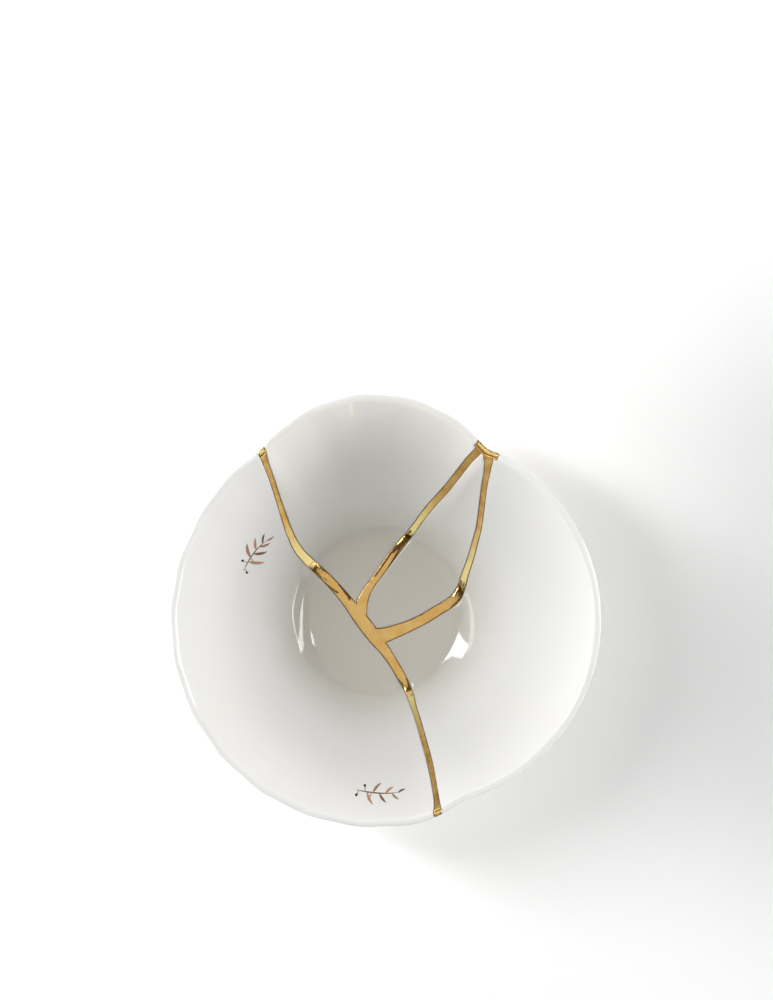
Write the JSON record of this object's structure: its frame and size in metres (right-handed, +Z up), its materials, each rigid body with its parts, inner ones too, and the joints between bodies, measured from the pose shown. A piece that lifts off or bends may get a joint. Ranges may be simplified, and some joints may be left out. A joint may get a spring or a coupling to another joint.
{
  "type": "kintsugi soup plate",
  "caption": "Deep white china soup plate mended from shards of unlike bowls with a branching gold seam through the wall; stands on a foot ring.",
  "frame": {"origin": "under the middle of the plate, on the surface that its foot stands on", "axes": "+Z up; +X to the right and +Y to the back of the plate, as seen from above with the tight rim at the back"},
  "size_m": [0.1946, 0.1953, 0.072],
  "materials": {
    "left_china": "glossy white glaze, softly waved lip",
    "back_china": "glossy white glaze",
    "right_china": "glossy white glaze, crisp lip",
    "wedge_china": "glossy white glaze",
    "mending_gold": "burnished gold, a little uneven"
  },
  "bodies": {
    "root": {"left_fragment": "left_china", "back_fragment": "back_china", "right_fragment": "right_china", "wedge_fragment": "wedge_china", "gold_seam": "mending_gold"}
  },
  "joints": []
}
